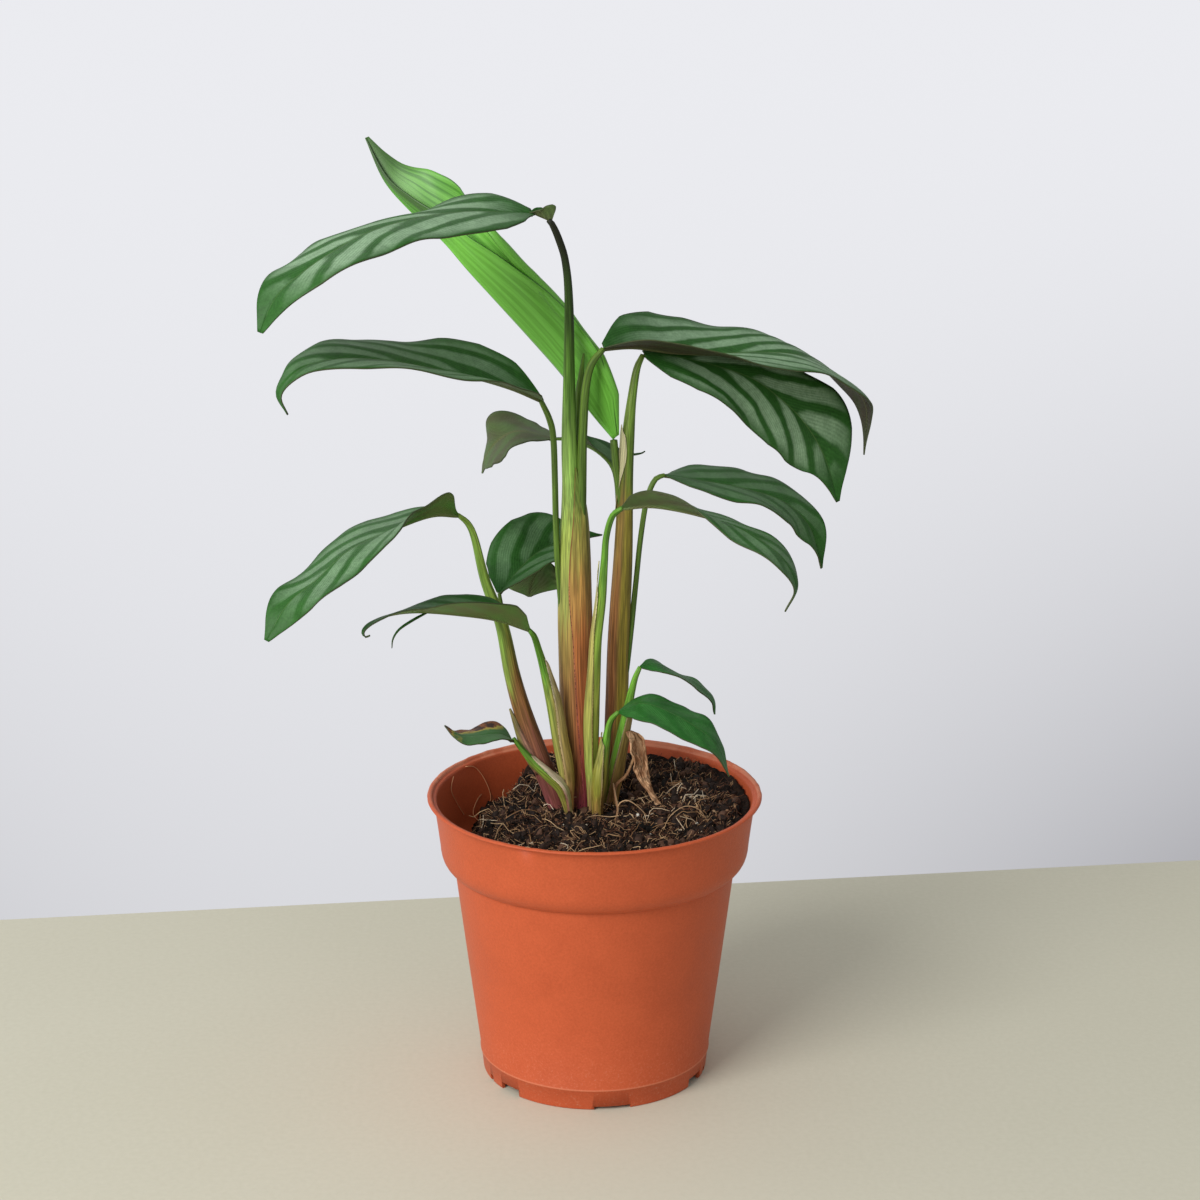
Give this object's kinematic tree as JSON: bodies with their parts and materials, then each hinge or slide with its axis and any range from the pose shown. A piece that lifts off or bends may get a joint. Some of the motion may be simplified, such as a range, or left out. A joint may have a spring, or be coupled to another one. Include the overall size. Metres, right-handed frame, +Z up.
{
  "type": "potted calathea plant",
  "caption": "Young calathea with striped lance-shaped leaves on clustered stems, standing in peat soil in a tapered terracotta-coloured plastic grower's pot.",
  "frame": {"origin": "on the table plane, on the pot's upright axis, under the middle of the whole plant", "axes": "+Z up along the pot's axis; -Y towards the front, where the leaves that lean left come forward; +X to the right of the front"},
  "size_m": [0.1926, 0.1359, 0.3054],
  "materials": {
    "pot": "satin",
    "soil": "matte",
    "crown": "matte",
    "stem": "satin",
    "petiole": "satin",
    "leaf": "satin",
    "new_leaf": "satin",
    "burnt_leaf": "satin",
    "dead_leaf": "matte",
    "sheath": "matte"
  },
  "bodies": {
    "root": {"crown": "crown", "leaf_back_dark": "leaf", "leaf_back_left": "leaf", "leaf_back_low": "leaf", "leaf_back_right": "leaf", "leaf_burnt": "burnt_leaf", "leaf_dead": "dead_leaf", "leaf_large_right": "leaf", "leaf_low_left": "leaf", "leaf_lower_left": "leaf", "leaf_mid_left": "leaf", "leaf_new": "new_leaf", "leaf_right_low": "leaf", "leaf_right_mid": "leaf", "leaf_rolled": "new_leaf", "leaf_small_lower": "leaf", "leaf_small_upper": "leaf", "leaf_upper_left": "leaf", "leaf_upper_right": "leaf", "petiole_back_dark": "petiole", "petiole_back_left": "petiole", "petiole_back_low": "petiole", "petiole_back_right": "petiole", "petiole_mid_left": "petiole", "petiole_new": "petiole", "petiole_right_mid": "petiole", "petiole_upper_right": "petiole", "pot": "pot", "sheath_left": "sheath", "soil": "soil", "stem_burnt": "stem", "stem_dead": "dead_leaf", "stem_left": "stem", "stem_low_left": "stem", "stem_low_right": "stem", "stem_main": "stem", "stem_second": "stem", "stem_small_lower": "stem", "stem_small_upper": "stem"}
  },
  "joints": []
}
